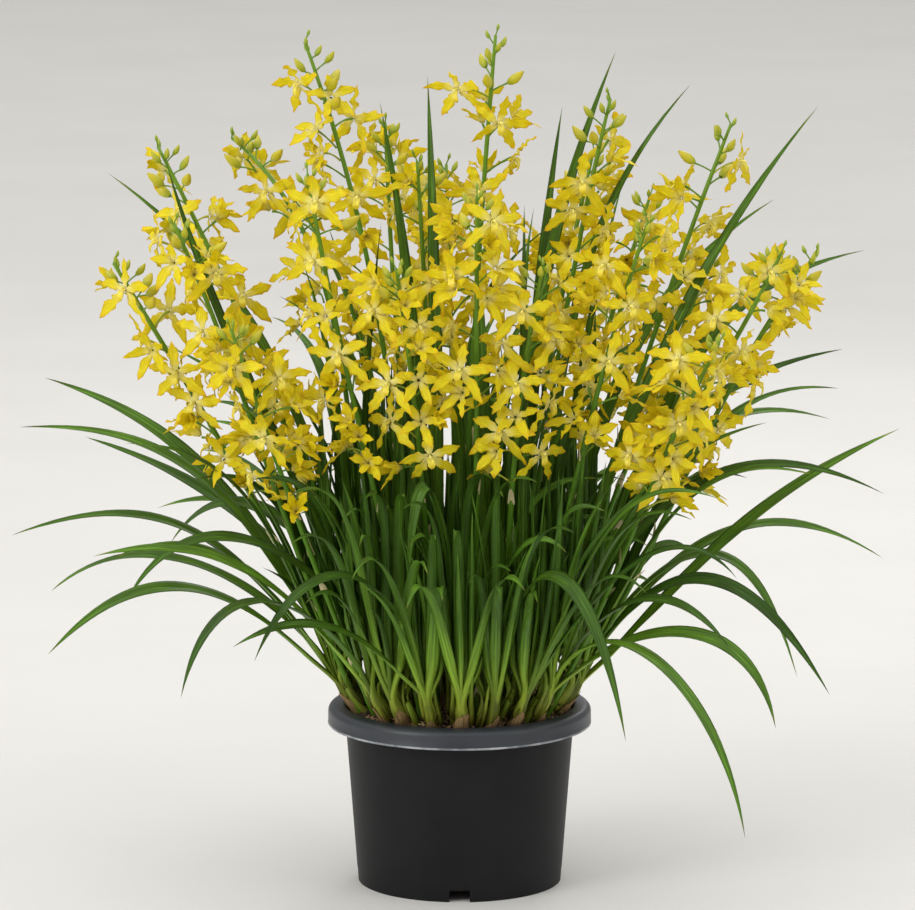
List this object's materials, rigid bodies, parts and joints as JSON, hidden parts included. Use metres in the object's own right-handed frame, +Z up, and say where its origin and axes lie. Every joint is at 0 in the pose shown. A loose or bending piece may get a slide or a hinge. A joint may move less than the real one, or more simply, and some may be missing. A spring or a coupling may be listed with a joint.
{
  "type": "potted orchid plant",
  "caption": "Bushy cymbidium orchid in a squat round nursery pot, with arching strap leaves and upright spikes of narrow-petalled flowers.",
  "frame": {"origin": "on the floor, on the pot's axis, at the middle of its foot", "axes": "+Z up along the pot's axis, -Y towards the viewer of the picture, +X to that viewer's right"},
  "size_m": [0.847, 0.6, 0.824],
  "materials": {
    "pot": "satin moulded plastic, near black",
    "potting_mix": "damp chopped bark",
    "leaves": "soft waxy sheen of living leaves",
    "flowers": "matt petals with a faint sheen"
  },
  "bodies": {
    "root": {"pot": "pot", "potting_mix": "potting_mix", "shoot_01": "leaves", "shoot_02": "leaves", "shoot_03": "leaves", "shoot_04": "leaves", "shoot_05": "leaves", "shoot_06": "leaves", "shoot_07": "leaves", "shoot_08": "leaves", "shoot_09": "leaves", "shoot_10": "leaves", "shoot_11": "leaves", "shoot_12": "leaves", "shoot_13": "leaves", "shoot_14": "leaves", "shoot_15": "leaves", "shoot_16": "leaves", "shoot_17": "leaves", "shoot_18": "leaves", "shoot_19": "leaves", "shoot_20": "leaves", "shoot_21": "leaves", "shoot_22": "leaves", "shoot_23": "leaves", "shoot_24": "leaves", "shoot_25": "leaves", "shoot_26": "leaves", "shoot_27": "leaves", "spike_01": "flowers", "spike_02": "flowers", "spike_03": "flowers", "spike_04": "flowers", "spike_05": "flowers", "spike_06": "flowers", "spike_07": "flowers", "spike_08": "flowers", "spike_09": "flowers", "spike_10": "flowers", "spike_11": "flowers", "spike_12": "flowers", "spike_13": "flowers", "spike_14": "flowers", "spike_15": "flowers", "spike_16": "flowers", "spike_17": "flowers", "spike_18": "flowers", "spike_19": "flowers", "spike_20": "flowers", "spike_21": "flowers", "spike_22": "flowers", "spike_23": "flowers"}
  },
  "joints": []
}
